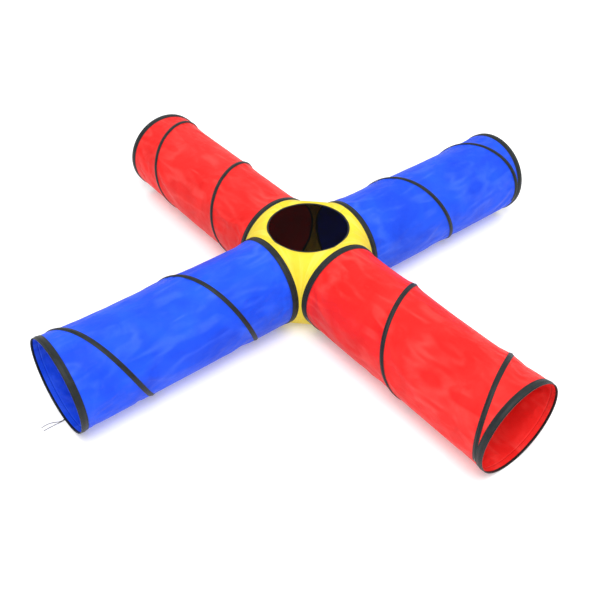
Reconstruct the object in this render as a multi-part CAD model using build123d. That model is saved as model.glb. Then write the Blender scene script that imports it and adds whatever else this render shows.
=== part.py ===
from build123d import *
from math import cos, pi, radians, sin, sqrt, tan
import os

# Four-way agility tunnel, in millimetres. Four fabric arms leave a central hub along +X, -X, +Y
# and -Y. The origin is on the floor under the hub's centre, and +Z is up. Spring steel wires, held
# in sewn tapes, keep the fabric open: a hoop at each end of an arm and a coil between them.

# ---- driving dimensions ----
HOOP_R = 240.0  # outside radius of every hoop, measured over its binding
ARM_LENGTH = 1190.0  # from the hub hoop's plane to the mouth
HOOP_SPACING = 9.0  # how far a hub hoop stands clear of its neighbours at the hub's corners
FABRIC_T = 1.0  # sleeve and hub cloth
WIRE_D = 3.0  # spring steel, hoops and coils
WIRE_ARCS = 10  # a coil wire's round section is drawn as this many arcs, so that it meshes evenly
WIRE_PLAY = 0.1  # wire in its pocket, all round
SEWN_GAP = 0.3  # between a sleeve and the tapes and wires round it
BINDING_W = 34.0  # tape over a hoop
BINDING_T = 1.2  # that tape over the wire
COIL_TAPE_W = 23.0
COIL_TAPE_T = 0.9  # the coil's tape over the wire
TAPE_EDGE_T = 1.2  # either tape at its flat edges
COIL_TURNS = 2
COIL_START = 93.0  # degrees round from the top, where the coil would leave the hub hoop's plane
COIL_GAP = 0.5  # along the arm, from a hoop's binding to the edge of the coil's tape
LIP_T = 1.2  # mouth binding, where it folds over the sleeve's edge
SEAM_T = 1.2  # seam allowance that stands up between a hub hoop and the hub's cloth

TOP_COLLAR = 44.0  # cloth between a hub hoop's plane and the peephole
TOP_SAG = 14.0  # how far the peephole's edge lies under the tops of the hoops
RIM_COVER = 8.0  # peephole binding, over the cloth
RIM_EDGE = 1.5  # peephole binding, inside the cloth's edge
RIM_T = 1.0  # peephole binding, above and below the cloth
MESH_T = 0.8  # window net

TIE_D = 2.5  # cord
KNOT_R = 3.2  # small enough to stay below the mouth's way through
KNOT_LENGTH = 8.4
KNOT_ROUND = 0.5  # the knot's outer edge
KNOT_SIDE = 10.0  # the knot's place across the mouth
KNOT_UP = 3.3  # its middle, above the floor
# The tie's two tails: out from the knot's end, across from its middle, and up from the floor.
TAIL_LEFT = [
    (0.0, 1.3, 3.3),
    (8.6, 2.2, 2.6),
    (18.6, 5.2, 1.8),
    (29.6, 12.0, 1.4),
    (43.6, 20.0, 1.4),
    (61.6, 25.0, 1.4),
    (79.6, 25.5, 1.4),
    (96.6, 23.0, 1.4),
]
TAIL_RIGHT = [
    (0.0, -1.3, 3.3),
    (10.1, -1.1, 2.3),
    (22.6, -0.2, 1.5),
    (38.6, 0.7, 1.4),
    (57.6, 1.0, 1.4),
    (77.6, 0.7, 1.4),
    (96.6, -0.2, 1.4),
]

# ---- worked out ----
HUB_HALF = HOOP_R + HOOP_SPACING  # hub centre to a hub hoop's plane
WIRE_R = WIRE_D / 2
POCKET_R = WIRE_R + WIRE_PLAY
WIRE_LINE_R = HOOP_R - BINDING_T - POCKET_R  # centre line of every wire, from the arm's axis
TAPE_IN_R = WIRE_LINE_R - WIRE_R  # inner face of the tapes, level with the wires
SLEEVE_R = TAPE_IN_R - SEWN_GAP  # outside of a sleeve
SLEEVE_IN_R = SLEEVE_R - FABRIC_T
COIL_PITCH = ARM_LENGTH / COIL_TURNS
COIL_CLEAR = COIL_TAPE_W / 2 + COIL_GAP  # from a hoop's binding to the end of the coil's middle
COIL_FROM = BINDING_W + COIL_CLEAR
COIL_TO = ARM_LENGTH - BINDING_W - COIL_CLEAR
PEEPHOLE_R = HUB_HALF - TOP_COLLAR
COLLAR_SLOPE = TOP_SAG / TOP_COLLAR
FAR = 4 * HOOP_R  # longer than anything in the hub

# the +X arm's own frame: z runs out along the arm from the hub hoop's plane, x points up
ARM_FRAME = Plane(origin=(HUB_HALF, 0, HOOP_R), x_dir=(0, 0, 1), z_dir=(1, 0, 0))
ARMS = {"blue_rear": 0, "red_rear": 90, "blue_front": 180, "red_front": 270}
CORNERS = {"rear": 0, "left": 90, "front": 180, "right": 270}


def ring(profile):
    """Turns a flat profile, drawn as (radius, along the arm), round the arm's axis."""
    return revolve(Plane.XZ * profile, Axis.Z)


def tape_profile(width, crown_t):
    """A tape's section over its wire: flat underneath, with a crown and a pocket for the wire."""
    crown = WIRE_LINE_R + POCKET_R + crown_t
    edge = TAPE_IN_R + TAPE_EDGE_T
    low = (TAPE_IN_R, -width / 2)
    high = (TAPE_IN_R, width / 2)
    outline = [
        Line(low, (edge, -width / 2)),
        ThreePointArc((edge, -width / 2), (crown, 0), (edge, width / 2)),
        Line((edge, width / 2), high),
        Line(high, low),
    ]
    pocket = Pos(WIRE_LINE_R, 0) * Circle(POCKET_R)
    slot = Pos(WIRE_LINE_R - POCKET_R, 0) * Rectangle(2 * POCKET_R, 2 * POCKET_R)
    return make_face(outline) - pocket - slot


def sleeve():
    wall = Cylinder(SLEEVE_R, ARM_LENGTH - LIP_T) - Cylinder(SLEEVE_IN_R, ARM_LENGTH)
    return Pos(0, 0, (ARM_LENGTH - LIP_T) / 2) * wall


def hoop_wire(along):
    return ring(Pos(WIRE_LINE_R, along) * Circle(WIRE_R))


def hub_hoop_binding():
    tape = ring(Pos(0, BINDING_W / 2) * tape_profile(BINDING_W, BINDING_T))
    seam = Pos((TAPE_IN_R + HOOP_R) / 2, SEAM_T / 2) * Rectangle(HOOP_R - TAPE_IN_R, SEAM_T)
    return tape + ring(seam)


def mouth_binding():
    tape = ring(Pos(0, ARM_LENGTH - BINDING_W / 2) * tape_profile(BINDING_W, BINDING_T))
    lip_out = TAPE_IN_R + TAPE_EDGE_T
    lip = Pos((SLEEVE_IN_R + lip_out) / 2, ARM_LENGTH - LIP_T / 2) * Rectangle(
        lip_out - SLEEVE_IN_R, LIP_T
    )
    return tape + ring(lip)


def coil_path():
    start = COIL_START + 360 * COIL_FROM / COIL_PITCH
    helix = Helix(COIL_PITCH, COIL_TO - COIL_FROM, WIRE_LINE_R)
    return Pos(0, 0, COIL_FROM) * Rot(0, 0, start) * helix


def along_coil(profile):
    """Sweeps a profile, drawn with its x away from the arm's axis, along the coil."""
    path = coil_path()
    start = path @ 0
    outward = Vector(start.X, start.Y, 0).normalized()
    section = Plane(origin=start, x_dir=outward, z_dir=path % 0)
    return sweep(section * Pos(-WIRE_LINE_R, 0) * profile, path=path, is_frenet=True)


def coil_wire():
    def edge(step):
        turn = 2 * pi * step / WIRE_ARCS
        return (WIRE_LINE_R + WIRE_R * cos(turn), WIRE_R * sin(turn))

    arcs = [ThreePointArc(edge(i), edge(i + 0.5), edge(i + 1)) for i in range(WIRE_ARCS)]
    return along_coil(make_face(arcs))


def coil_tape():
    return along_coil(tape_profile(COIL_TAPE_W, COIL_TAPE_T))


def web_bar(half, radius, turn):
    """A bar along one of the hub's diagonals, whose sides are the webs stretched between hoops."""
    reach = half / sqrt(2)
    end = Ellipse(radius / sqrt(2), radius)
    profile = Rectangle(2 * reach, 2 * radius) + Pos(reach, 0) * end + Pos(-reach, 0) * end
    bar = extrude(Plane.XZ * profile, FAR, both=True)
    return Pos(0, 0, HOOP_R) * Rot(0, 0, turn) * bar


def dish(drop):
    """The space above the hub's top collar, which slopes down from the hoops to the peephole."""
    rim = 2 * HOOP_R - TOP_SAG - drop
    rise = COLLAR_SLOPE * (FAR - PEEPHOLE_R)
    outline = Polyline(
        (0, rim), (PEEPHOLE_R, rim), (FAR, rim + rise), (FAR, FAR), (0, FAR), close=True
    )
    return revolve(Plane.XZ * make_face(outline), Axis.Z)


def hub_shell():
    cloth_drop = FABRIC_T * sqrt(1 + COLLAR_SLOPE**2)
    inner_half = HUB_HALF - (sqrt(2) - 1) * FABRIC_T
    block = Pos(0, 0, HOOP_R) * Box(2 * HUB_HALF, 2 * HUB_HALF, 2 * HOOP_R)
    outer = block & web_bar(HUB_HALF, HOOP_R, 45) & web_bar(HUB_HALF, HOOP_R, -45)
    room = web_bar(inner_half, HOOP_R - FABRIC_T, 45) & web_bar(inner_half, HOOP_R - FABRIC_T, -45)
    hole = Pos(0, 0, 2 * HOOP_R) * Cylinder(PEEPHOLE_R, HOOP_R)
    return (outer - dish(0)) - (room - dish(cloth_drop)) - hole


def floor_block():
    """Cuts the square floor panel from the shell. Its corners lie under the hub hoops."""
    side = HUB_HALF * sqrt(2)
    height = HOOP_R / 2
    return Pos(0, 0, height / 2) * Rot(0, 0, 45) * Box(side, side, height)


def quarter(turn):
    box = Pos(HUB_HALF, HUB_HALF, HOOP_R) * Box(2 * HUB_HALF, 2 * HUB_HALF, 4 * HOOP_R)
    return Rot(0, 0, turn) * box


def on_collar(outline):
    """Turns a profile, drawn as (out along the collar, up from its face), round the hub's axis."""
    rim = Plane(
        origin=(PEEPHOLE_R, 0, 2 * HOOP_R - TOP_SAG),
        x_dir=(1, 0, COLLAR_SLOPE),
        z_dir=(0, -1, 0),
    )
    return revolve(rim * outline, Axis.Z)


def peephole_binding():
    across = RIM_COVER + RIM_EDGE
    deep = FABRIC_T + 2 * RIM_T
    tape = Pos(across / 2 - RIM_EDGE, RIM_T - deep / 2) * Rectangle(across, deep)
    inset = FABRIC_T * COLLAR_SLOPE  # the cloth's edge is cut upright
    slot = Pos(RIM_COVER - inset, -FABRIC_T / 2) * Rectangle(2 * RIM_COVER, FABRIC_T)
    hole = Pos(0, 0, 2 * HOOP_R) * Cylinder(PEEPHOLE_R - RIM_EDGE, HOOP_R)
    return on_collar(tape - slot) - hole


def peephole_mesh():
    middle = 2 * HOOP_R - TOP_SAG - FABRIC_T / 2
    return Pos(0, 0, middle) * Cylinder(PEEPHOLE_R - RIM_EDGE, MESH_T)


def mouth_point(out, across, up):
    """A place by the front blue arm's mouth, which faces -X."""
    return (-(HUB_HALF + ARM_LENGTH) - out, across, up)


def tie_knot():
    lump = Rot(0, 90, 0) * Cylinder(KNOT_R, KNOT_LENGTH)
    lump = fillet(lump.edges().sort_by(Axis.X)[0], KNOT_ROUND)
    return Pos(*mouth_point(KNOT_LENGTH / 2, KNOT_SIDE, KNOT_UP)) * lump


def tail(points):
    """A limp cord: straight runs joined by tangent arcs, each as large as its runs allow."""
    places = [
        Vector(*mouth_point(KNOT_LENGTH + out, KNOT_SIDE + across, up))
        for out, across, up in points
    ]
    radii = []
    for before, here, after in zip(places, places[1:], places[2:]):
        turn = (here - before).get_angle(after - here)
        run = min((here - before).length, (after - here).length)
        radii.append(0.45 * run / tan(radians(turn / 2)))
    path = FilletPolyline(*places, radius=radii)
    print("tail: length", round(path.length, 1), "smallest bend", round(min(radii), 1))
    start = Plane(origin=path @ 0, z_dir=path % 0)
    return sweep(start * Circle(TIE_D / 2), path=path)


nodes = {}

shell = hub_shell()
nodes["hub_floor_panel"] = shell & floor_block()
upper = shell - floor_block()
for corner, turn in CORNERS.items():
    nodes[f"hub_corner_{corner}"] = upper & quarter(turn)
nodes["peephole_binding"] = peephole_binding()
nodes["peephole_mesh"] = peephole_mesh()

arm_pieces = {
    "sleeve": sleeve(),
    "coil_wire": coil_wire(),
    "coil_tape": coil_tape(),
    "hub_hoop_wire": hoop_wire(BINDING_W / 2),
    "hub_hoop_binding": hub_hoop_binding(),
    "mouth_wire": hoop_wire(ARM_LENGTH - BINDING_W / 2),
    "mouth_binding": mouth_binding(),
}
for arm, turn in ARMS.items():
    for piece, shape in arm_pieces.items():
        nodes[f"{arm}_{piece}"] = Rot(0, 0, turn) * ARM_FRAME.location * shape

nodes["tie_knot"] = tie_knot()
nodes["tie_tail_left"] = tail(TAIL_LEFT)
nodes["tie_tail_right"] = tail(TAIL_RIGHT)

os.makedirs("parts", exist_ok=True)
for name, shape in nodes.items():
    export_step(shape, f"parts/{name}.step")
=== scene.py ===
"""Four-way agility tunnel: taffeta sleeves and hub, black bindings and coil tapes, a mesh peephole
and a tie cord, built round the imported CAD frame. Everything is in metres."""

import math

import bmesh
import bpy
from mathutils import Matrix, Vector, noise


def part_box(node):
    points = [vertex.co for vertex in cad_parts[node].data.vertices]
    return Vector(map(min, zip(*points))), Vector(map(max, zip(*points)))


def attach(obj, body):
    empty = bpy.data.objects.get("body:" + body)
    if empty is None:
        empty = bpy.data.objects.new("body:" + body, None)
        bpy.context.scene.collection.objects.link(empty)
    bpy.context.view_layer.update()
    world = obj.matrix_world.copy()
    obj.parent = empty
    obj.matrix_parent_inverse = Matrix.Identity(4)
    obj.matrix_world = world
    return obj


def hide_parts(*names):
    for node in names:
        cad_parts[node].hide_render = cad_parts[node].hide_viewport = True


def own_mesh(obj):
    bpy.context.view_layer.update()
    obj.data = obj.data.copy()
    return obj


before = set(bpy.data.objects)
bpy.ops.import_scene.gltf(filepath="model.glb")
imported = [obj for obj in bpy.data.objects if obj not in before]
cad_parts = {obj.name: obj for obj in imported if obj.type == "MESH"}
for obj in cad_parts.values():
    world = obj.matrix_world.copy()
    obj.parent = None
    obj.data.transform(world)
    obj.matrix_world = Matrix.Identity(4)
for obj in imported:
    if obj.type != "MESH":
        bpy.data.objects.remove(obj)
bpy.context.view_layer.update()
scene = bpy.context.scene
TURN = 2 * math.pi
MM = 0.001

# ---- sizes read from the frame ----
hub_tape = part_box("blue_rear_hub_hoop_binding")
mouth_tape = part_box("blue_rear_mouth_binding")
sleeve_low, sleeve_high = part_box("blue_rear_sleeve")
HOOP_R = (hub_tape[1].z - hub_tape[0].z) / 2  # outside of a hoop, over its binding
HUB_HALF = hub_tape[0].x  # hub centre to a hub hoop's plane
ARM_LENGTH = mouth_tape[1].x - HUB_HALF
BINDING_W = hub_tape[1].x - hub_tape[0].x
SLEEVE_R = (sleeve_high.z - sleeve_low.z) / 2
RIM_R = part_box("peephole_mesh")[1].x
RIM_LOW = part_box("peephole_binding")[0].z

# ---- cloth, tape and wire ----
CLOTH_T = 0.5 * MM
WIRE_R = 1.5 * MM
WIRE_LINE_R = HOOP_R - 2.8 * MM  # the wires' centre line, from the arm's axis
TAPE_IN_R = WIRE_LINE_R - WIRE_R
COIL_W = 23 * MM
COIL_START = math.radians(93)  # round from the top, where the coil leaves the hub hoop's plane
COIL_PITCH = ARM_LENGTH / 2
COIL_RATE = COIL_PITCH / TURN  # along the arm for each radian round it
COIL_EASE = math.radians(80)  # over the last of its turn the coil swings in beside the mouth hoop
COIL_END_CLEAR = 5 * MM  # from the coil's line at its end to the mouth's binding
COIL_END_S = ARM_LENGTH - BINDING_W - COIL_END_CLEAR
COIL_STRAIGHT = COIL_END_S / COIL_RATE - COIL_EASE / 2
COIL_END = COIL_STRAIGHT + COIL_EASE
WAIST = 3 * MM  # how far the cloth draws in between two full turns of the coil
SLEEVE_EDGE = 1.2 * MM  # from a hoop's plane to the sleeve's edge, inside the binding's fold
SLEEVE_COLUMNS = 120
CLOTH_SPARE = 0.02  # how much larger than its tube the cloth is cut
STITCH_R = 0.35 * MM
STITCH_PITCH = 5 * MM
SETTLE_FRAMES = 18
SETTLE_CAP = 5 * MM
FOLD_DEPTH = 2.4 * MM
RIDGE_DEPTH = 2.2 * MM
CRINKLE = 0.7 * MM
PLEAT_DEPTH = 1.1 * MM
PLEAT_REACH = 55 * MM  # how far the pleats at the hub hoop run out along the arm
SAG = 2 * MM
FOLD_FADE = 45 * MM  # over this distance from a tape the folds come in
LONG_SPAN = 250 * MM  # a span of cloth this long folds in full
WEB_SHARE = 0.84  # a corner's share of rows in the web; the collar has the rest
WEB_DIP = math.radians(19)  # how far from a hoop's top the web ends, in the middle
WEB_TUG = 1.0 * MM
PEEPHOLE_TAPE_W = 9 * MM
PEEPHOLE_TAPE_T = 1.5 * MM
NET_PITCH = 2.8 * MM
NET_THREAD_R = 0.68 * MM
NET_SAG = 5 * MM

ARMS = {"blue_rear": 0, "red_rear": 90, "blue_front": 180, "red_front": 270}
CORNERS = {"rear": 0, "left": 90, "front": 180, "right": 270}


# ---- helpers ----
def arm_place(turn):
    """An arm's frame: z runs out along the arm from the hub hoop's plane, and x points up."""
    ahead = Matrix(((0, 0, 1, HUB_HALF), (0, -1, 0, 0), (1, 0, 0, HOOP_R), (0, 0, 0, 1)))
    return Matrix.Rotation(math.radians(turn), 4, "Z") @ ahead


def round_arm(radius, angle, along):
    return Vector((radius * math.cos(angle), radius * math.sin(angle), along))


def smooth(x):
    x = min(max(x, 0.0), 1.0)
    return x * x * (3 - 2 * x)


def cloth_grid(columns, rows, place, cut=(0, 1)):
    """A grid, each of whose points goes where place(u, v) says, with v from cut[0] to cut[1] in UV."""
    bm = bmesh.new()
    uv = bm.loops.layers.uv.new("cut")
    bmesh.ops.create_grid(bm, x_segments=columns, y_segments=rows, size=0.5, calc_uvs=True)
    for face in bm.faces:
        for loop in face.loops:
            loop[uv].uv.y = cut[0] + (cut[1] - cut[0]) * loop[uv].uv.y
    for vert in bm.verts:
        vert.co = place(vert.co.x + 0.5, vert.co.y + 0.5)
    bmesh.ops.remove_doubles(bm, verts=bm.verts, dist=1e-6)
    return bm


def face_away(bm, middle):
    """Turns the faces so that they point away from middle(point)."""
    bm.normal_update()
    lean = 0.0
    for face in bm.faces:
        centre = face.calc_center_median()
        lean += face.normal.dot(centre - middle(centre)) * face.calc_area()
    if lean < 0:
        bmesh.ops.reverse_faces(bm, faces=bm.faces)


def axis_point(point):
    return Vector((0, 0, point.z))


def piece(name, bm, body, material, place=Matrix.Identity(4)):
    """Makes a bmesh a piece that rides on a body, with the given material."""
    bmesh.ops.transform(bm, matrix=place, verts=bm.verts)
    mesh = bpy.data.meshes.new(name)
    bm.to_mesh(mesh)
    bm.free()
    mesh.shade_smooth()
    mesh.materials.append(material)
    obj = bpy.data.objects.new(name, mesh)
    scene.collection.objects.link(obj)
    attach(obj, body)
    return obj


def thicken(obj, thickness):
    """Gives cloth its thickness, inwards. Even thickness would throw spikes off a folded sleeve."""
    shell = obj.modifiers.new("cloth", "SOLIDIFY")
    shell.thickness = thickness
    shell.offset = -1.0


# ---- materials ----
def new_material(name):
    material = bpy.data.materials.new(name)
    material.use_nodes = True
    tree = material.node_tree
    return material, tree, tree.nodes["Principled BSDF"], tree.nodes["Material Output"]


def add(tree, kind, inputs=None, **settings):
    node = tree.nodes.new(kind)
    for key, value in settings.items():
        setattr(node, key, value)
    for key, value in (inputs or {}).items():
        node.inputs[key].default_value = value
    return node


def bump(tree, height, strength, distance, under=None):
    node = add(tree, "ShaderNodeBump", {"Strength": strength, "Distance": distance})
    tree.links.new(height, node.inputs["Height"])
    if under is not None:
        tree.links.new(under.outputs["Normal"], node.inputs["Normal"])
    return node


def weave(tree, threads, turn=0.0):
    """A plain weave over the piece's own cut: threads is (across u, across v)."""
    uv = add(tree, "ShaderNodeUVMap", uv_map="cut")
    scale = add(tree, "ShaderNodeMapping", {"Scale": (*threads, 1), "Rotation": (0, 0, turn)})
    tree.links.new(uv.outputs["UV"], scale.inputs["Vector"])
    waves = []
    for axis in ("X", "Y"):
        wave = add(tree, "ShaderNodeTexWave", {"Scale": 1.0, "Distortion": 0.0}, bands_direction=axis)
        tree.links.new(scale.outputs["Vector"], wave.inputs["Vector"])
        waves.append(wave)
    over = add(tree, "ShaderNodeMath", operation="MULTIPLY")
    tree.links.new(waves[0].outputs["Fac"], over.inputs[0])
    tree.links.new(waves[1].outputs["Fac"], over.inputs[1])
    return over.outputs[0]


def cloth_noise(tree, scale, detail, stretch=(1, 1, 1), distortion=0.0):
    where = add(tree, "ShaderNodeTexCoord")
    mapping = add(tree, "ShaderNodeMapping", {"Scale": stretch})
    tree.links.new(where.outputs["Object"], mapping.inputs["Vector"])
    settings = {"Scale": scale, "Detail": detail, "Distortion": distortion}
    texture = add(tree, "ShaderNodeTexNoise", settings)
    tree.links.new(mapping.outputs["Vector"], texture.inputs["Vector"])
    return texture.outputs["Fac"]


def cut_noise(tree, stretch, slant, detail=5.0, distortion=0.8):
    """Streaks that follow the cloth's own cut: drawn out along it, and a little slantwise."""
    uv = add(tree, "ShaderNodeUVMap", uv_map="cut")
    mapping = add(tree, "ShaderNodeMapping", {"Scale": stretch, "Rotation": (0, 0, slant)})
    tree.links.new(uv.outputs["UV"], mapping.inputs["Vector"])
    settings = {"Scale": 1.0, "Detail": detail, "Distortion": distortion}
    texture = add(tree, "ShaderNodeTexNoise", settings)
    tree.links.new(mapping.outputs["Vector"], texture.inputs["Vector"])
    return texture.outputs["Fac"]


def two_tone(tree, factor, dark, light, low=0.3, high=0.7):
    ramp = add(tree, "ShaderNodeValToRGB")
    ramp.color_ramp.elements[0].position = low
    ramp.color_ramp.elements[0].color = (*dark, 1)
    ramp.color_ramp.elements[1].position = high
    ramp.color_ramp.elements[1].color = (*light, 1)
    tree.links.new(factor, ramp.inputs["Fac"])
    return ramp.outputs["Color"]


def rough_range(tree, factor, low, high):
    spread = add(tree, "ShaderNodeMapRange", {"To Min": low, "To Max": high})
    tree.links.new(factor, spread.inputs["Value"])
    return spread.outputs["Result"]


def crease_lines(tree, streak, cut):
    """Fine lines along the middle of the streaks, in patches, where packing has creased the cloth. The
    mask shapes the creases' bump and places the painted highlight along them.
    """
    off = add(tree, "ShaderNodeMath", {1: 0.5}, operation="SUBTRACT")
    tree.links.new(streak, off.inputs[0])
    width = add(tree, "ShaderNodeMath", operation="ABSOLUTE")
    tree.links.new(off.outputs[0], width.inputs[0])
    fade = {"From Max": 0.11, "To Min": 1.0, "To Max": 0.0}
    line = add(tree, "ShaderNodeMapRange", fade, interpolation_type="SMOOTHSTEP")
    tree.links.new(width.outputs[0], line.inputs["Value"])
    patch = add(tree, "ShaderNodeMapRange", {"From Min": 0.42, "From Max": 0.62})
    tree.links.new(cut_noise(tree, (7 * cut, 5 * cut, 1), 1.1), patch.inputs["Value"])
    both = add(tree, "ShaderNodeMath", operation="MULTIPLY")
    tree.links.new(line.outputs["Result"], both.inputs[0])
    tree.links.new(patch.outputs["Result"], both.inputs[1])
    return both.outputs[0]


def taffeta(name, dark, light, crease_highlight, threads, cut=1.0, through_share=0.16):
    """Coated polyester taffeta: a fine weave, a soft sheen, and creases with a painted highlight along
    them. Some light comes through. The streaks are sized for a cut as large as a sleeve's, times cut."""
    material, tree, skin, output = new_material(name)
    links = tree.links
    tone = cloth_noise(tree, 5.0, 5.0, distortion=0.6)
    streak = cut_noise(tree, (22 * cut, 8 * cut, 1), 0.45, 4.0, 0.4)
    along_creases = cut_noise(tree, (17 * cut, 4 * cut, 1), 0.55, 1.3, 0.15)
    creases = crease_lines(tree, along_creases, cut)
    # painted highlight: along the crease lines the colour is mixed towards a paler one, in place of the
    # light the creases catch
    highlight_mix = add(tree, "ShaderNodeMix", data_type="RGBA")
    highlight_mix.inputs["B"].default_value = (*crease_highlight, 1)
    links.new(rough_range(tree, creases, 0.0, 0.3), highlight_mix.inputs["Factor"])
    links.new(two_tone(tree, tone, dark, light), highlight_mix.inputs["A"])
    colour = highlight_mix.outputs["Result"]
    crumple = cloth_noise(tree, 16.0, 6.0, distortion=1.2)
    drawn = bump(tree, streak, 0.6, 10 * MM)
    folded = bump(tree, creases, 0.5, 1.5 * MM, drawn)
    big = bump(tree, crumple, 0.40, 4 * MM, folded)
    fine = bump(tree, weave(tree, threads), 0.10, 0.15 * MM, big)
    links.new(colour, skin.inputs["Base Color"])
    links.new(rough_range(tree, crumple, 0.42, 0.62), skin.inputs["Roughness"])
    links.new(fine.outputs["Normal"], skin.inputs["Normal"])
    skin.inputs["Specular IOR Level"].default_value = 0.18
    skin.inputs["Sheen Weight"].default_value = 0.04
    skin.inputs["Sheen Roughness"].default_value = 0.4
    through = add(tree, "ShaderNodeBsdfTranslucent")
    links.new(colour, through.inputs["Color"])
    links.new(fine.outputs["Normal"], through.inputs["Normal"])
    mix = add(tree, "ShaderNodeMixShader", {"Fac": through_share})
    links.new(skin.outputs["BSDF"], mix.inputs[1])
    links.new(through.outputs["BSDF"], mix.inputs[2])
    links.new(mix.outputs["Shader"], output.inputs["Surface"])
    return material


def webbing(name, dark, light, threads):
    """Woven binding tape: ribbed, matt, and rubbed lighter in random patches."""
    material, tree, skin, _ = new_material(name)
    rub = cloth_noise(tree, 30.0, 4.0)
    tree.links.new(two_tone(tree, rub, dark, light), skin.inputs["Base Color"])
    ribs = bump(tree, weave(tree, threads), 0.35, 0.3 * MM)
    fuzz = bump(tree, cloth_noise(tree, 900.0, 2.0), 0.15, 0.2 * MM, ribs)
    tree.links.new(fuzz.outputs["Normal"], skin.inputs["Normal"])
    tree.links.new(rough_range(tree, rub, 0.42, 0.6), skin.inputs["Roughness"])
    skin.inputs["Specular IOR Level"].default_value = 0.22
    skin.inputs["Sheen Weight"].default_value = 0.02
    skin.inputs["Sheen Roughness"].default_value = 0.5
    return material


def thread(name, dark, light, rough, gloss):
    material, tree, skin, _ = new_material(name)
    strands = cloth_noise(tree, 700.0, 3.0, stretch=(1, 1, 3))
    tree.links.new(two_tone(tree, strands, dark, light), skin.inputs["Base Color"])
    twist = bump(tree, strands, 0.5, 0.3 * MM)
    tree.links.new(twist.outputs["Normal"], skin.inputs["Normal"])
    skin.inputs["Roughness"].default_value = rough
    skin.inputs["Specular IOR Level"].default_value = gloss
    return material


def spring_steel():
    material, tree, skin, _ = new_material("spring_steel")
    drawn = cloth_noise(tree, 220.0, 3.0, stretch=(1, 1, 8))
    colour = two_tone(tree, drawn, (0.28, 0.28, 0.29), (0.5, 0.5, 0.52))
    tree.links.new(colour, skin.inputs["Base Color"])
    tree.links.new(rough_range(tree, drawn, 0.25, 0.45), skin.inputs["Roughness"])
    skin.inputs["Metallic"].default_value = 1.0
    return material


SLEEVE_THREADS = (2600, 2100)  # a piece's UV runs from 0 to 1 over its cut
PANEL_THREADS = (900, 1300)
HOOP_THREADS = (1500, 60)
COIL_THREADS = (3200, 40)
BLACK = ((0.006, 0.009, 0.010), (0.014, 0.019, 0.020))
# each cloth's third colour is the painted highlight along its creases
BLUE = taffeta(
    "blue_taffeta", (0.006, 0.062, 0.74), (0.013, 0.105, 0.92), (0.09, 0.22, 1.0), SLEEVE_THREADS
)
RED = taffeta(
    "red_taffeta", (0.80, 0.012, 0.010), (0.94, 0.028, 0.024), (1.0, 0.13, 0.11), SLEEVE_THREADS
)
YELLOW = taffeta(
    "yellow_taffeta", (0.80, 0.60, 0.030), (0.92, 0.74, 0.044), (1.0, 0.94, 0.22), PANEL_THREADS, 0.3, 0.14
)
HOOP_BLACK = webbing("black_hoop_binding", *BLACK, HOOP_THREADS)
COIL_BLACK = webbing("black_coil_tape", *BLACK, COIL_THREADS)
NET_BLACK = thread("black_net_thread", (0.0015, 0.0015, 0.0015), (0.004, 0.004, 0.004), 0.9, 0.03)
STITCH_BLACK = thread("black_sewing_thread", (0.02, 0.024, 0.025), (0.05, 0.056, 0.058), 0.5, 0.4)
CORD_GREY = thread("tie_cord_braid", (0.008, 0.008, 0.009), (0.04, 0.04, 0.042), 0.8, 0.1)
STEEL = spring_steel()
CLOTHS = {"blue": BLUE, "red": RED}


# ---- sleeves ----
def coil_along(turned):
    """How far out along the arm the coil is, once it has turned this far from its start."""
    if turned < COIL_STRAIGHT:
        return COIL_RATE * turned
    over = min(turned - COIL_STRAIGHT, COIL_EASE)
    return COIL_RATE * (COIL_STRAIGHT + over - over * over / (2 * COIL_EASE))


def held_between(angle, along):
    """(from, to): the hoop or coil turns that hold the cloth on either side of a point."""
    stops = [BINDING_W, ARM_LENGTH - BINDING_W]
    turned = (angle - COIL_START) % TURN
    while turned < COIL_END:
        place = coil_along(turned)
        if BINDING_W < place < ARM_LENGTH - BINDING_W:
            stops.append(place)
        turned += TURN
    before = [s for s in stops if s <= along]
    after = [s for s in stops if s > along]
    return max(before, default=0.0), min(after, default=ARM_LENGTH)


def cloth_radius(angle, along, seed):
    """The sleeve's radius: full at the hoops and the coil, drawn in and creased between them."""
    low, high = held_between(angle, along)
    if along <= BINDING_W or along >= ARM_LENGTH - BINDING_W:
        return SLEEVE_R
    span = high - low
    share = (along - low) / span
    belly = 4 * share * (1 - share)
    waist = WAIST * belly * min(1.0, (span / COIL_PITCH) ** 1.4)
    edge = min(along - low, high - along)
    free = smooth(edge / FOLD_FADE) * min(1.0, span / LONG_SPAN)
    slant = angle + 1.1 * along
    round_noise = Vector((math.cos(slant), math.sin(slant), 0))
    long_fold = noise.noise(round_noise * 3.6 + Vector((0, 0, along * 2.2 + seed)))
    crease = noise.noise(round_noise * 6.5 + Vector((seed, 0, along * 3.4)))
    ridge = (1 - abs(crease)) ** 6
    small = noise.noise(round_noise * 13 + Vector((0, seed, along * 14)))
    folds = FOLD_DEPTH * long_fold - RIDGE_DEPTH * ridge + CRINKLE * small
    pleat_zone = math.exp(-(along - BINDING_W) / PLEAT_REACH)
    pleats = pleat_zone * smooth((along - BINDING_W) / (10 * MM)) * PLEAT_DEPTH
    pleats *= noise.noise(Vector((math.cos(angle), math.sin(angle), 0)) * 16 + Vector((0, 0, seed)))
    sag = SAG * belly * math.cos(angle) * min(1.0, span / COIL_PITCH)
    return min(SLEEVE_R, SLEEVE_R - waist - sag + free * folds + pleats)


def sleeve_length(arm, turn, seed, name, span, rows, body):
    """A length of an arm's sleeve, from span[0] to span[1] along the arm."""
    colour = arm.split("_")[0]

    def place(u, v):
        angle = TURN * (u + 0.5)  # the cut's long edges meet underneath
        along = span[0] + (span[1] - span[0]) * v
        return round_arm(cloth_radius(angle % TURN, along, seed), angle, along)

    bm = cloth_grid(SLEEVE_COLUMNS, rows, place, cut=[s / ARM_LENGTH for s in span])
    face_away(bm, axis_point)
    return piece(f"{arm}_{name}", bm, body, CLOTHS[colour], arm_place(turn))


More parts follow.
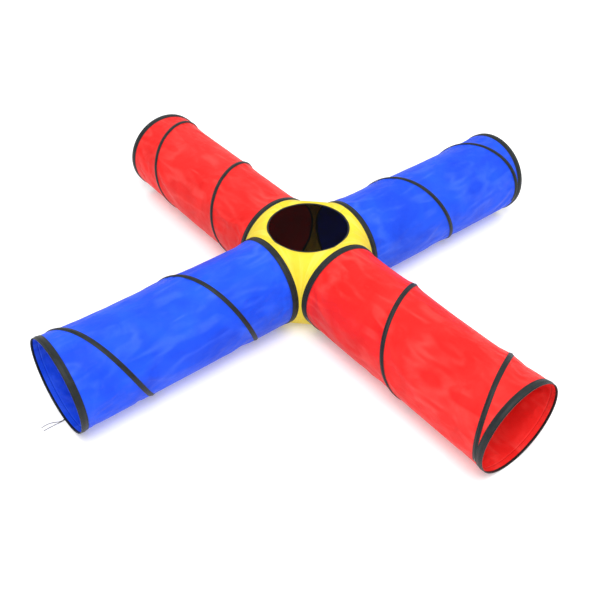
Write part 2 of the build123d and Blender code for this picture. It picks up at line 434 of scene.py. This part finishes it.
def finish_length(obj, span):
    finer = obj.modifiers.new("finer", "SUBSURF")
    finer.levels = 1
    finer.render_levels = 1
    thicken(obj, CLOTH_T)


def make_sleeve(arm, turn, seed):
    """The free cloth lies between the two bindings and rides on the hub; its sewn edges go with their
    hoops.
    """
    free = (BINDING_W, ARM_LENGTH - BINDING_W)
    obj = sleeve_length(arm, turn, seed, "sleeve_cloth", free, 88, "hub")
    edges = {
        "hub": ((SLEEVE_EDGE, BINDING_W), "hub", "hub_hoop_tape"),
        "mouth": ((free[1], ARM_LENGTH - SLEEVE_EDGE), f"{arm}_mouth", "mouth_tape"),
    }
    for end, (span, body, tape) in edges.items():
        edge = sleeve_length(arm, turn, seed, f"sleeve_{end}_edge", span, 4, body)
        finish_length(edge, span)
    return obj


def settle(sleeves):
    """Lets the cloth, cut a little large, hang and crease between the tapes that hold it."""
    starts = {}
    for arm, obj in sleeves.items():
        back = arm_place(ARMS[arm]).inverted()
        starts[arm] = [v.co.copy() for v in obj.data.vertices]
        group = obj.vertex_groups.new(name="held")
        for i, start in enumerate(starts[arm]):
            point = back @ start
            low, high = held_between(math.atan2(point.y, point.x) % TURN, point.z)
            if min(point.z - low, high - point.z) < COIL_W / 2:
                group.add([i], 1.0, "REPLACE")
        cloth = obj.modifiers.new("settle", "CLOTH")
        cloth.settings.quality = 5
        cloth.settings.mass = 0.15
        cloth.settings.tension_stiffness = 20
        cloth.settings.compression_stiffness = 20
        cloth.settings.shear_stiffness = 8
        cloth.settings.bending_stiffness = 0.3
        cloth.settings.air_damping = 3
        cloth.settings.vertex_group_mass = "held"
        cloth.settings.shrink_min = -CLOTH_SPARE
        cloth.settings.effector_weights.gravity = 0.3
        cloth.point_cache.frame_end = SETTLE_FRAMES
    for number in range(1, SETTLE_FRAMES + 1):
        scene.frame_set(number)
    shapes = bpy.context.evaluated_depsgraph_get()
    for arm, obj in sleeves.items():
        here = arm_place(ARMS[arm])
        back = here.inverted()
        moved = [v.co.copy() for v in obj.evaluated_get(shapes).data.vertices]
        for vert, before, after in zip(obj.data.vertices, starts[arm], moved):
            step = after - before
            if step.length > SETTLE_CAP:
                step = step.normalized() * SETTLE_CAP
            point = back @ (before + step)
            inwards = min(1.0, SLEEVE_R / math.hypot(point.x, point.y))
            point.z = min(max(point.z, BINDING_W), ARM_LENGTH - BINDING_W)
            vert.co = here @ Vector((point.x * inwards, point.y * inwards, point.z))
        obj.modifiers.clear()
        obj.vertex_groups.clear()
    scene.frame_set(1)


def fold_up(obj):
    """Gives the piece its own copy of its mesh."""
    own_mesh(obj)


def finish_sleeve(arm, obj):
    finish_length(obj, (BINDING_W, ARM_LENGTH - BINDING_W))
    fold_up(obj)
    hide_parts(f"{arm}_sleeve")


# ---- coils ----
def coil_section(crown):
    """The coil tape's section: (across the tape, up from the wire side)."""
    half = COIL_W / 2 / math.cos(math.atan(COIL_RATE / WIRE_LINE_R))
    edge = TAPE_IN_R + 0.9 * MM
    points = [(-half, TAPE_IN_R), (half, TAPE_IN_R), (half + 0.3 * MM, TAPE_IN_R + 0.4 * MM)]
    steps = 14
    for i in range(steps + 1):
        across = half * (1 - 2 * i / steps)
        swell = math.exp(-((across / (5.5 * MM)) ** 2))
        points.append((across, edge + crown * 3.0 * MM * swell))
    points.append((-half - 0.3 * MM, TAPE_IN_R + 0.4 * MM))
    return points


def make_coil(arm, turn):
    steps = 560
    start = BINDING_W * 0.5 / COIL_RATE
    rows = len(coil_section(1.0))

    def place_tape(u, v):
        turned = start + (COIL_END - start) * u
        along = coil_along(turned)
        dive = smooth((along - BINDING_W + 4 * MM) / (26 * MM))
        dive *= smooth((COIL_END - turned) / math.radians(22)) * 0.55 + 0.45
        across, radius = coil_section(dive)[round(v * rows) % rows]
        return round_arm(radius, COIL_START + turned, along + across)

    bm = cloth_grid(steps, rows, place_tape)
    ends = [e for e in bm.edges if e.is_boundary]
    bmesh.ops.holes_fill(bm, edges=ends, sides=0)
    bmesh.ops.recalc_face_normals(bm, faces=bm.faces)
    tape = piece(f"{arm}_coil_tape_cloth", bm, "hub", COIL_BLACK, arm_place(turn))
    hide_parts(f"{arm}_coil_tape")

    sides = 8

    def place_wire(u, v):
        turned = start + (COIL_END - start) * u
        side = TURN * v
        radius = WIRE_LINE_R + WIRE_R * 0.8 * math.cos(side)
        across = WIRE_R * 0.8 * math.sin(side)
        return round_arm(radius, COIL_START + turned, coil_along(turned) + across)

    bm = cloth_grid(steps, sides, place_wire)
    bmesh.ops.holes_fill(bm, edges=[e for e in bm.edges if e.is_boundary], sides=0)
    bmesh.ops.recalc_face_normals(bm, faces=bm.faces)
    wire = piece(f"{arm}_coil_spring", bm, "hub", STEEL, arm_place(turn))
    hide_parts(f"{arm}_coil_wire")
    for obj in (tape, wire):
        fold_up(obj)


# ---- hoop bindings ----
def hoop_outside(along, hub_side):
    """The outside of a hoop's tape: swollen over the wire, and turned up or over at the edge."""
    middle = BINDING_W / 2
    swell = math.exp(-(((along - middle) / (8.5 * MM)) ** 2))
    radius = TAPE_IN_R + 1.1 * MM + 3.0 * MM * swell
    if hub_side:
        seam = HOOP_R - 0.3 * MM - (along / (3.2 * MM)) ** 2 * MM
    else:
        seam = TAPE_IN_R + 2.3 * MM - (along / (5 * MM)) ** 2 * MM
    return min(max(radius, seam), HOOP_R)


def hoop_section(hub_side):
    """A binding's section, folded over the sleeve's edge: (radius, in from the hoop's edge)."""
    inside = SLEEVE_R - 1.0 * MM
    under = TAPE_IN_R
    fold = 10 * MM
    points = [
        (inside + 0.1 * MM, fold),
        (inside + 0.1 * MM, 0.9 * MM),
        (under, 0.9 * MM),
        (under, BINDING_W),
        (under + 0.5 * MM, BINDING_W + 0.3 * MM),
    ]
    steps = 22
    for i in range(steps + 1):
        along = BINDING_W * (1 - i / steps)
        points.append((hoop_outside(along, hub_side), along))
    points += [
        (points[-1][0] - 0.8 * MM, -0.7 * MM),
        (inside - 0.1 * MM, -0.5 * MM),
        (inside - 0.7 * MM, 0.5 * MM),
        (inside - 0.7 * MM, fold),
    ]
    return points


def make_hoop_tape(arm, turn, hub_side):
    section = hoop_section(hub_side)
    rows = len(section)

    def place(u, v):
        radius, along = section[round(v * rows) % rows]
        if not hub_side:
            along = ARM_LENGTH - along
        return round_arm(radius, TURN * u, along)

    bm = cloth_grid(240, rows, place)
    bmesh.ops.recalc_face_normals(bm, faces=bm.faces)
    end = "hub_hoop" if hub_side else "mouth"
    body = "hub" if hub_side else f"{arm}_mouth"
    name = f"{arm}_{end}_tape"
    obj = piece(name, bm, body, HOOP_BLACK, arm_place(turn))
    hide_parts(f"{arm}_{end}_binding")


# ---- stitching ----
def add_stitches(bm, count, point_at):
    """A row of short threads laid end to end, with a gap between them, along point_at(0 to 1)."""
    reach = 0.32 / count
    for i in range(count):
        middle = (i + 0.5) / count
        start, end = point_at(middle - reach), point_at(middle + reach)
        turned = (end - start).to_track_quat("Z", "Y").to_matrix().to_4x4()
        bmesh.ops.create_cone(
            bm,
            cap_ends=True,
            segments=5,
            radius1=STITCH_R,
            radius2=STITCH_R,
            depth=(end - start).length,
            matrix=Matrix.Translation((start + end) / 2) @ turned,
        )


def hoop_stitches(hub_side):
    bm = bmesh.new()
    for along in (7 * MM, BINDING_W - 2.5 * MM):
        radius = hoop_outside(along, hub_side) + 0.1 * MM
        place = along if hub_side else ARM_LENGTH - along
        count = round(TURN * radius / STITCH_PITCH)
        add_stitches(bm, count, lambda t, r=radius, a=place: round_arm(r, TURN * t, a))
    return bm


def coil_stitches():
    bm = bmesh.new()
    first = (BINDING_W + 8 * MM) / COIL_RATE
    last = COIL_END - math.radians(14)
    count = round((last - first) * math.hypot(WIRE_LINE_R, COIL_RATE) / STITCH_PITCH)
    radius = TAPE_IN_R + 1.0 * MM
    for across in (-COIL_W / 2 + 1.5 * MM, COIL_W / 2 - 1.5 * MM):

        def point_at(t, side=across):
            turned = first + (last - first) * t
            return round_arm(radius, COIL_START + turned, coil_along(turned) + side)

        add_stitches(bm, count, point_at)
    return bm


def make_stitching():
    """Both edges of every tape are sewn down. The arms are alike, so each row is made once."""
    rows = {
        "hub_hoop": hoop_stitches(True),
        "mouth": hoop_stitches(False),
        "coil": coil_stitches(),
    }
    for arm, turn in ARMS.items():
        for where, bm in rows.items():
            body = f"{arm}_mouth" if where == "mouth" else "hub"
            name = f"{arm}_{where}_stitching"
            obj = piece(name, bm.copy(), body, STITCH_BLACK, arm_place(turn))
            if where == "coil":
                fold_up(obj)
    for bm in rows.values():
        bm.free()


# ---- hub ----
def between_hoops(u, angle):
    """A point on the straight line from one hub hoop to the next, at an angle up round them."""
    hoop = HOOP_R - 0.6 * MM
    side = hoop * math.cos(angle)
    up = HOOP_R + hoop * math.sin(angle)
    return Vector((HUB_HALF, side, up)) * (1 - u) + Vector((side, HUB_HALF, up)) * u


def make_corner(corner, turn):
    """The web between two neighbouring hoops, and its share of the collar round the peephole."""
    columns, rows = 64, 110

    def place(u, v):
        bow = math.sin(math.pi * u)
        top = math.pi / 2 - WEB_DIP * bow
        if v <= WEB_SHARE:
            start = -math.pi / 2
            return between_hoops(u, start + (top - start) * v / WEB_SHARE)
        share = (v - WEB_SHARE) / (1 - WEB_SHARE)
        around = math.pi / 2 * u
        rim = Vector((RIM_R * math.cos(around), RIM_R * math.sin(around), RIM_LOW + 1 * MM))
        return between_hoops(u, top) * (1 - share) + rim * share

    bm = cloth_grid(columns, rows, place)
    inner = [v for v in bm.verts if not v.is_boundary]
    for _ in range(40):
        bmesh.ops.smooth_vert(
            bm, verts=inner, factor=0.5, use_axis_x=True, use_axis_y=True, use_axis_z=True
        )
    face_away(bm, lambda point: Vector((0, 0, HOOP_R)))
    for vert in inner:
        tug = noise.noise(Vector((vert.co.x * 14 + turn, vert.co.y * 14, vert.co.z * 8)))
        vert.co += vert.normal * tug * WEB_TUG
    here = Matrix.Rotation(math.radians(turn), 4, "Z")
    obj = piece(f"hub_corner_{corner}_cloth", bm, "hub", YELLOW, here)
    thicken(obj, CLOTH_T)
    # the cut's area is the CAD web's, which has this cloth's two faces and narrow edges
    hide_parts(f"hub_corner_{corner}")


def make_floor_panel():
    side = HUB_HALF * math.sqrt(2)

    def place(u, v):
        x, y = (u - 0.5) * side, (v - 0.5) * side
        edge = smooth(min(u, v, 1 - u, 1 - v) / 0.12)
        wave = noise.noise(Vector((x * 9, y * 9, 4.7))) + 0.5 * noise.noise(Vector((x * 24, y * 24, 9)))
        return Vector((x, y, 0.6 * MM + edge * max(0.0, 2.2 * MM * (wave + 0.25))))

    bm = cloth_grid(96, 96, place)
    turned = Matrix.Rotation(math.radians(45), 4, "Z")
    face_away(bm, lambda point: point - Vector((0, 0, 1)))
    obj = piece("hub_floor_cloth", bm, "hub", YELLOW, turned)
    thicken(obj, CLOTH_T)
    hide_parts("hub_floor_panel")


def make_peephole_binding():
    """A narrow tape folded over the hole's edge, on the collar's slope."""
    slope = (2 * HOOP_R - RIM_LOW - 2 * MM) / (HUB_HALF - RIM_R)
    half = PEEPHOLE_TAPE_W / 2
    bm = bmesh.new()
    ring = []
    steps = 16
    for i in range(steps):
        angle = TURN * i / steps
        across = half * math.cos(angle)
        up = PEEPHOLE_TAPE_T * math.sin(angle) * (1 - 0.25 * abs(math.cos(angle)))
        level = RIM_LOW + 2 * MM + slope * (across + half) * 0.55
        ring.append(bm.verts.new((RIM_R + half - 1 * MM + across, 0, level + up)))
    edges = [bm.edges.new((ring[i], ring[(i + 1) % steps])) for i in range(steps)]
    bmesh.ops.spin(
        bm, geom=edges, cent=(0, 0, 0), axis=(0, 0, 1), angle=TURN, steps=200, use_merge=True
    )
    bmesh.ops.recalc_face_normals(bm, faces=bm.faces)
    obj = piece("peephole_tape", bm, "hub", HOOP_BLACK)
    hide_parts("peephole_binding")


def make_net():
    """The window: two sets of black threads, pulled flat and sagging a little in the middle."""
    reach = RIM_R + 2.5 * MM
    level = RIM_LOW + 1.6 * MM
    bm = bmesh.new()
    count = int(reach / NET_PITCH)
    for turn, lift in ((0, 0.5), (90, -0.5)):
        for i in range(-count, count + 1):
            side = i * NET_PITCH
            half = math.sqrt(max(reach * reach - side * side, 0))
            if half < 4 * NET_PITCH:
                continue
            turned = Matrix.Rotation(math.radians(turn), 4, "Z")
            lay = turned @ Matrix.Translation((0, side, lift * NET_THREAD_R))
            lay = lay @ Matrix.Rotation(math.radians(90), 4, "Y")
            made = bmesh.ops.create_cone(
                bm,
                segments=5,
                radius1=NET_THREAD_R,
                radius2=NET_THREAD_R,
                depth=2 * half,
                cap_ends=True,
                matrix=lay,
            )
            edges = dict.fromkeys(e for v in made["verts"] for e in v.link_edges)
            long_edges = [e for e in edges if e.calc_length() > 2 * half * 0.99]
            bmesh.ops.subdivide_edges(bm, edges=long_edges, cuts=12, use_grid_fill=False)
    for vert in bm.verts:
        share = min(1.0, (vert.co.x**2 + vert.co.y**2) / reach**2)
        vert.co.z += level - NET_SAG * (1 - share)
    obj = piece("peephole_net", bm, "hub", NET_BLACK)
    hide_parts("peephole_mesh")


# ---- tie ----
# The tie's two tails, in millimetres: out from the knot's end, across from its middle, and up.
KNOT_LENGTH = 8.4
KNOT_SIDE = 10.0
KNOT_UP = 3.3
TIE_D = 2.5
TAIL_LEFT = [
    (0.0, 1.3, 3.3),
    (8.6, 2.2, 2.6),
    (18.6, 5.2, 1.8),
    (29.6, 12.0, 1.4),
    (43.6, 20.0, 1.4),
    (61.6, 25.0, 1.4),
    (79.6, 25.5, 1.4),
    (96.6, 23.0, 1.4),
]
TAIL_RIGHT = [
    (0.0, -1.3, 3.3),
    (10.1, -1.1, 2.3),
    (22.6, -0.2, 1.5),
    (38.6, 0.7, 1.4),
    (57.6, 1.0, 1.4),
    (77.6, 0.7, 1.4),
    (96.6, -0.2, 1.4),
]


def tie_point(out, across, up):
    """A place by the front blue mouth, which faces -X: millimetres from the mouth's plane."""
    return Vector((-(HUB_HALF + ARM_LENGTH) - out * MM, across * MM, up * MM))


def make_knot():
    curve = bpy.data.curves.new("tie_knot_cord", "CURVE")
    curve.dimensions = "3D"
    curve.bevel_depth = TIE_D / 2 * MM
    curve.bevel_resolution = 4
    line = curve.splines.new("NURBS")
    count = 24
    line.points.add(count - 1)
    for i, point in enumerate(line.points):
        t = TURN * i / count
        across = math.sin(t) + 2 * math.sin(2 * t)
        up = math.cos(t) - 2 * math.cos(2 * t)
        out = -math.sin(3 * t)
        out, across, up = 2.4 * out, 0.8 * across, 0.8 * up + 0.5
        place = tie_point(KNOT_LENGTH / 2 + out, KNOT_SIDE + across, KNOT_UP + up)
        point.co = (*place, 1)
    line.use_cyclic_u = True
    line.order_u = 4
    source = bpy.data.objects.new("tie_knot_line", curve)
    mesh = bpy.data.meshes.new_from_object(source)
    bpy.data.objects.remove(source)
    mesh.name = "tie_knot_cord"
    mesh.materials.clear()
    mesh.materials.append(CORD_GREY)
    mesh.shade_smooth()
    obj = bpy.data.objects.new("tie_knot_cord", mesh)
    scene.collection.objects.link(obj)
    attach(obj, "blue_front_mouth")
    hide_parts("tie_knot")
    return obj


def make_tail(name, points):
    curve = bpy.data.curves.new(name, "CURVE")
    curve.dimensions = "3D"
    curve.bevel_depth = TIE_D / 2 * MM
    curve.bevel_resolution = 4
    curve.use_fill_caps = True
    line = curve.splines.new("NURBS")
    line.points.add(len(points) - 1)
    places = [tie_point(KNOT_LENGTH + out, KNOT_SIDE + across, up) for out, across, up in points]
    for point, place in zip(line.points, places):
        point.co = (*place, 1)
    line.order_u = 3
    line.use_endpoint_u = True
    line.resolution_u = 12
    curve.materials.append(CORD_GREY)
    obj = bpy.data.objects.new(f"{name}_cord", curve)
    scene.collection.objects.link(obj)
    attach(obj, "blue_front_mouth")
    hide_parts(name)


# ---- stage, light and camera ----
def make_stage():
    bm = bmesh.new()
    bmesh.ops.create_grid(bm, x_segments=1, y_segments=1, size=30)
    mesh = bpy.data.meshes.new("studio_floor")
    bm.to_mesh(mesh)
    bm.free()
    floor = bpy.data.objects.new("studio_floor", mesh)
    floor.location.z = -0.5 * MM
    scene.collection.objects.link(floor)
    material, _, skin, _ = new_material("pale_floor")
    skin.inputs["Base Color"].default_value = (0.82, 0.82, 0.82, 1)
    skin.inputs["Emission Color"].default_value = (1, 1, 1, 1)
    skin.inputs["Emission Strength"].default_value = 0.24
    skin.inputs["Roughness"].default_value = 0.9
    skin.inputs["Specular IOR Level"].default_value = 0.1
    mesh.materials.append(material)
    world = bpy.data.worlds.new("studio")
    world.use_nodes = True
    world.node_tree.nodes["Background"].inputs["Color"].default_value = (1, 1, 1, 1)
    world.node_tree.nodes["Background"].inputs["Strength"].default_value = 0.76
    scene.world = world
    scene.view_settings.view_transform = "Standard"


def make_light(name, place, power):
    """A soft light, 4 m across, that looks at the hub."""
    lamp = bpy.data.lights.new(name, "AREA")
    lamp.size = 4.0
    lamp.energy = power
    obj = bpy.data.objects.new(name, lamp)
    obj.location = place
    obj.rotation_euler = (Vector((0, 0, 0.2)) - Vector(place)).to_track_quat("-Z", "Y").to_euler()
    scene.collection.objects.link(obj)


def make_camera():
    azimuth, elevation, roll = (math.radians(a) for a in (-38.6, 41.46, 0.348))
    level = math.cos(elevation)
    back = Vector((math.sin(azimuth) * level, -math.cos(azimuth) * level, math.sin(elevation)))
    right = Vector((math.cos(azimuth), math.sin(azimuth), 0))
    up = back.cross(right)
    turned_right = right * math.cos(roll) + up * math.sin(roll)
    turned_up = up * math.cos(roll) - right * math.sin(roll)
    target = Vector((-1.2009, -1.2413, 1.3884)) * HOOP_R
    data = bpy.data.cameras.new("camera")
    data.sensor_width = 36
    data.lens = 47.96
    camera = bpy.data.objects.new("camera", data)
    facing = Matrix((turned_right, turned_up, back)).transposed().to_4x4()
    camera.matrix_world = Matrix.Translation(target + back * 16.076 * HOOP_R) @ facing
    scene.collection.objects.link(camera)
    scene.camera = camera


# ---- build ----
sleeves = {}
for number, (arm, turn) in enumerate(ARMS.items()):
    sleeves[arm] = make_sleeve(arm, turn, seed=3.7 + 11.3 * number)
    make_coil(arm, turn)
    make_hoop_tape(arm, turn, hub_side=True)
    make_hoop_tape(arm, turn, hub_side=False)
    for wire in (f"{arm}_hub_hoop_wire", f"{arm}_mouth_wire"):
        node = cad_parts[wire]
        for slot in node.material_slots:
            slot.material = STEEL
settle(sleeves)
for arm, turn in ARMS.items():
    finish_sleeve(arm, sleeves[arm])
for number, (corner, turn) in enumerate(CORNERS.items()):
    make_corner(corner, turn)
make_floor_panel()
make_peephole_binding()
make_stitching()
make_net()
knot = make_knot()
make_tail("tie_tail_left", TAIL_LEFT)
make_tail("tie_tail_right", TAIL_RIGHT)

make_stage()
make_camera()
make_light("key_light", (-2.2, -2.8, 6.8), 430)
make_light("fill_light", (4.5, -2.0, 4.5), 60)
make_light("back_light", (1.0, 5.0, 5.0), 60)
